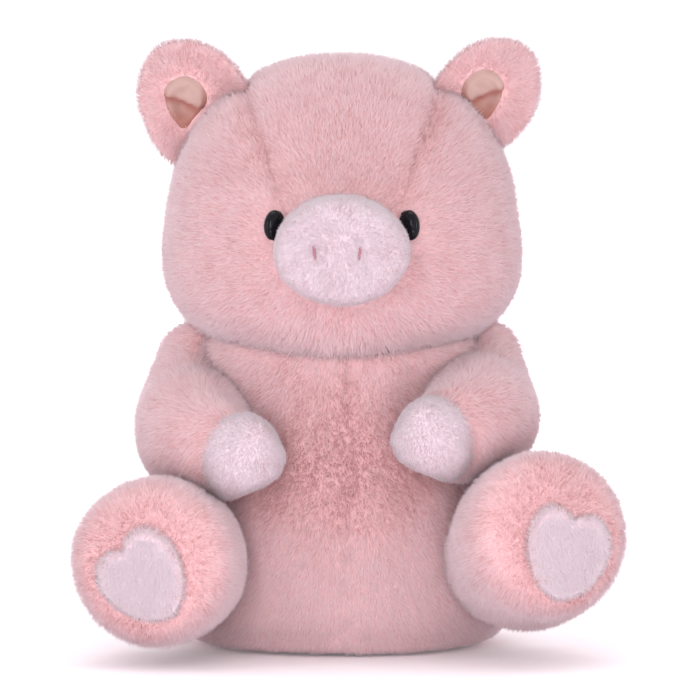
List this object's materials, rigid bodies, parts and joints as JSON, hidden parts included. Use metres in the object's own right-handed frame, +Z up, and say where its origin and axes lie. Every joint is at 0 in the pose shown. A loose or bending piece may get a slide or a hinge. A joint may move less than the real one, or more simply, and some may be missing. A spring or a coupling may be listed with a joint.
{
  "type": "plush pig",
  "caption": "Sitting stuffed pig of sewn plush panels over filling, with domed eyes, a stuffed snout and sewn-on limbs that flex at their seams.",
  "frame": {"origin": "centre of the flat underside of the seat", "axes": "+Z up, -Y the way the pig faces, its own right side at -X"},
  "size_m": [0.2246, 0.1929, 0.2466],
  "materials": {
    "fur": "short dense plush pile, matt",
    "body_fur": "short dense plush pile, matt, a shade deeper",
    "pale_fur": "very short pale plush pile",
    "satin": "smooth satin lining",
    "glossy_black": "polished black dome",
    "plastic": "plain moulded white",
    "thread": "rose sewing thread",
    "filling": "white fibre filling",
    "bag": "woven cotton bag of pellets"
  },
  "bodies": {
    "torso": {"torso_front_right_panel": "body_fur", "torso_front_left_panel": "body_fur", "torso_back_right_panel": "body_fur", "torso_back_left_panel": "body_fur", "torso_base_panel": "body_fur", "torso_filling": "filling", "pellet_bag": "bag"},
    "neck": {"neck_thread": "thread"},
    "head": {"head_forehead_panel": "fur", "head_right_side_panel": "fur", "head_left_side_panel": "fur", "head_back_panel": "fur", "head_filling": "filling", "snout_cover": "pale_fur", "snout_filling": "filling", "right_nostril_stitch": "thread", "left_nostril_stitch": "thread", "right_eye": "glossy_black", "left_eye": "glossy_black", "right_eye_washer": "plastic", "left_eye_washer": "plastic"},
    "right_ear": {"right_ear_outer": "fur", "right_ear_lining": "satin"},
    "right_arm": {"right_arm_sleeve": "body_fur", "right_paw_tip": "pale_fur", "right_arm_filling": "filling"},
    "right_leg": {"right_leg_cover": "fur", "right_sole_panel": "fur", "right_heart_pad": "pale_fur", "right_leg_filling": "filling"},
    "left_ear": {"left_ear_outer": "fur", "left_ear_lining": "satin"},
    "left_arm": {"left_arm_sleeve": "body_fur", "left_paw_tip": "pale_fur", "left_arm_filling": "filling"},
    "left_leg": {"left_leg_cover": "fur", "left_sole_panel": "fur", "left_heart_pad": "pale_fur", "left_leg_filling": "filling"},
    "tail": {"tail": "fur"}
  },
  "joints": [
    {"name": "head_turn", "type": "hinge", "parent": "torso", "child": "neck", "pos_m": [0, 0, 0.118], "axis": [0, 0, 1], "range_deg": [-20, 20], "stiffness_Nm_per_rad": 1},
    {"name": "head_nod", "type": "hinge", "parent": "neck", "child": "head", "pos_m": [0, 0, 0.118], "axis": [1, 0, 0], "range_deg": [-5, 5], "stiffness_Nm_per_rad": 4},
    {"name": "right_ear_fold", "type": "hinge", "parent": "head", "child": "right_ear", "pos_m": [-0.05275, 0.004, 0.21517], "axis": [0.7269, -0.2079, 0.6545], "range_deg": [-15, 15], "stiffness_Nm_per_rad": 0.05},
    {"name": "right_arm_raise", "type": "hinge", "parent": "torso", "child": "right_arm", "pos_m": [-0.05797, -0.0046, 0.10817], "axis": [-0.7071, 0, -0.7071], "range_deg": [0, 35], "stiffness_Nm_per_rad": 0.3},
    {"name": "right_leg_spread", "type": "hinge", "parent": "torso", "child": "right_leg", "pos_m": [-0.05082, -0.03896, 0.04065], "axis": [0, 0, -1], "range_deg": [0, 20], "stiffness_Nm_per_rad": 0.6},
    {"name": "left_ear_fold", "type": "hinge", "parent": "head", "child": "left_ear", "pos_m": [0.05275, 0.004, 0.21517], "axis": [0.7913, 0.2079, -0.5749], "range_deg": [-15, 15], "stiffness_Nm_per_rad": 0.05},
    {"name": "left_arm_raise", "type": "hinge", "parent": "torso", "child": "left_arm", "pos_m": [0.05741, -0.00451, 0.10885], "axis": [-0.7071, 0, 0.7071], "range_deg": [0, 35], "stiffness_Nm_per_rad": 0.3},
    {"name": "left_leg_spread", "type": "hinge", "parent": "torso", "child": "left_leg", "pos_m": [0.05198, -0.03821, 0.0443], "axis": [0, 0, 1], "range_deg": [0, 20], "stiffness_Nm_per_rad": 0.6},
    {"name": "tail_wag", "type": "hinge", "parent": "torso", "child": "tail", "pos_m": [0, 0.06, 0.042], "axis": [0, 0, 1], "range_deg": [-20, 20], "stiffness_Nm_per_rad": 0.02}
  ]
}
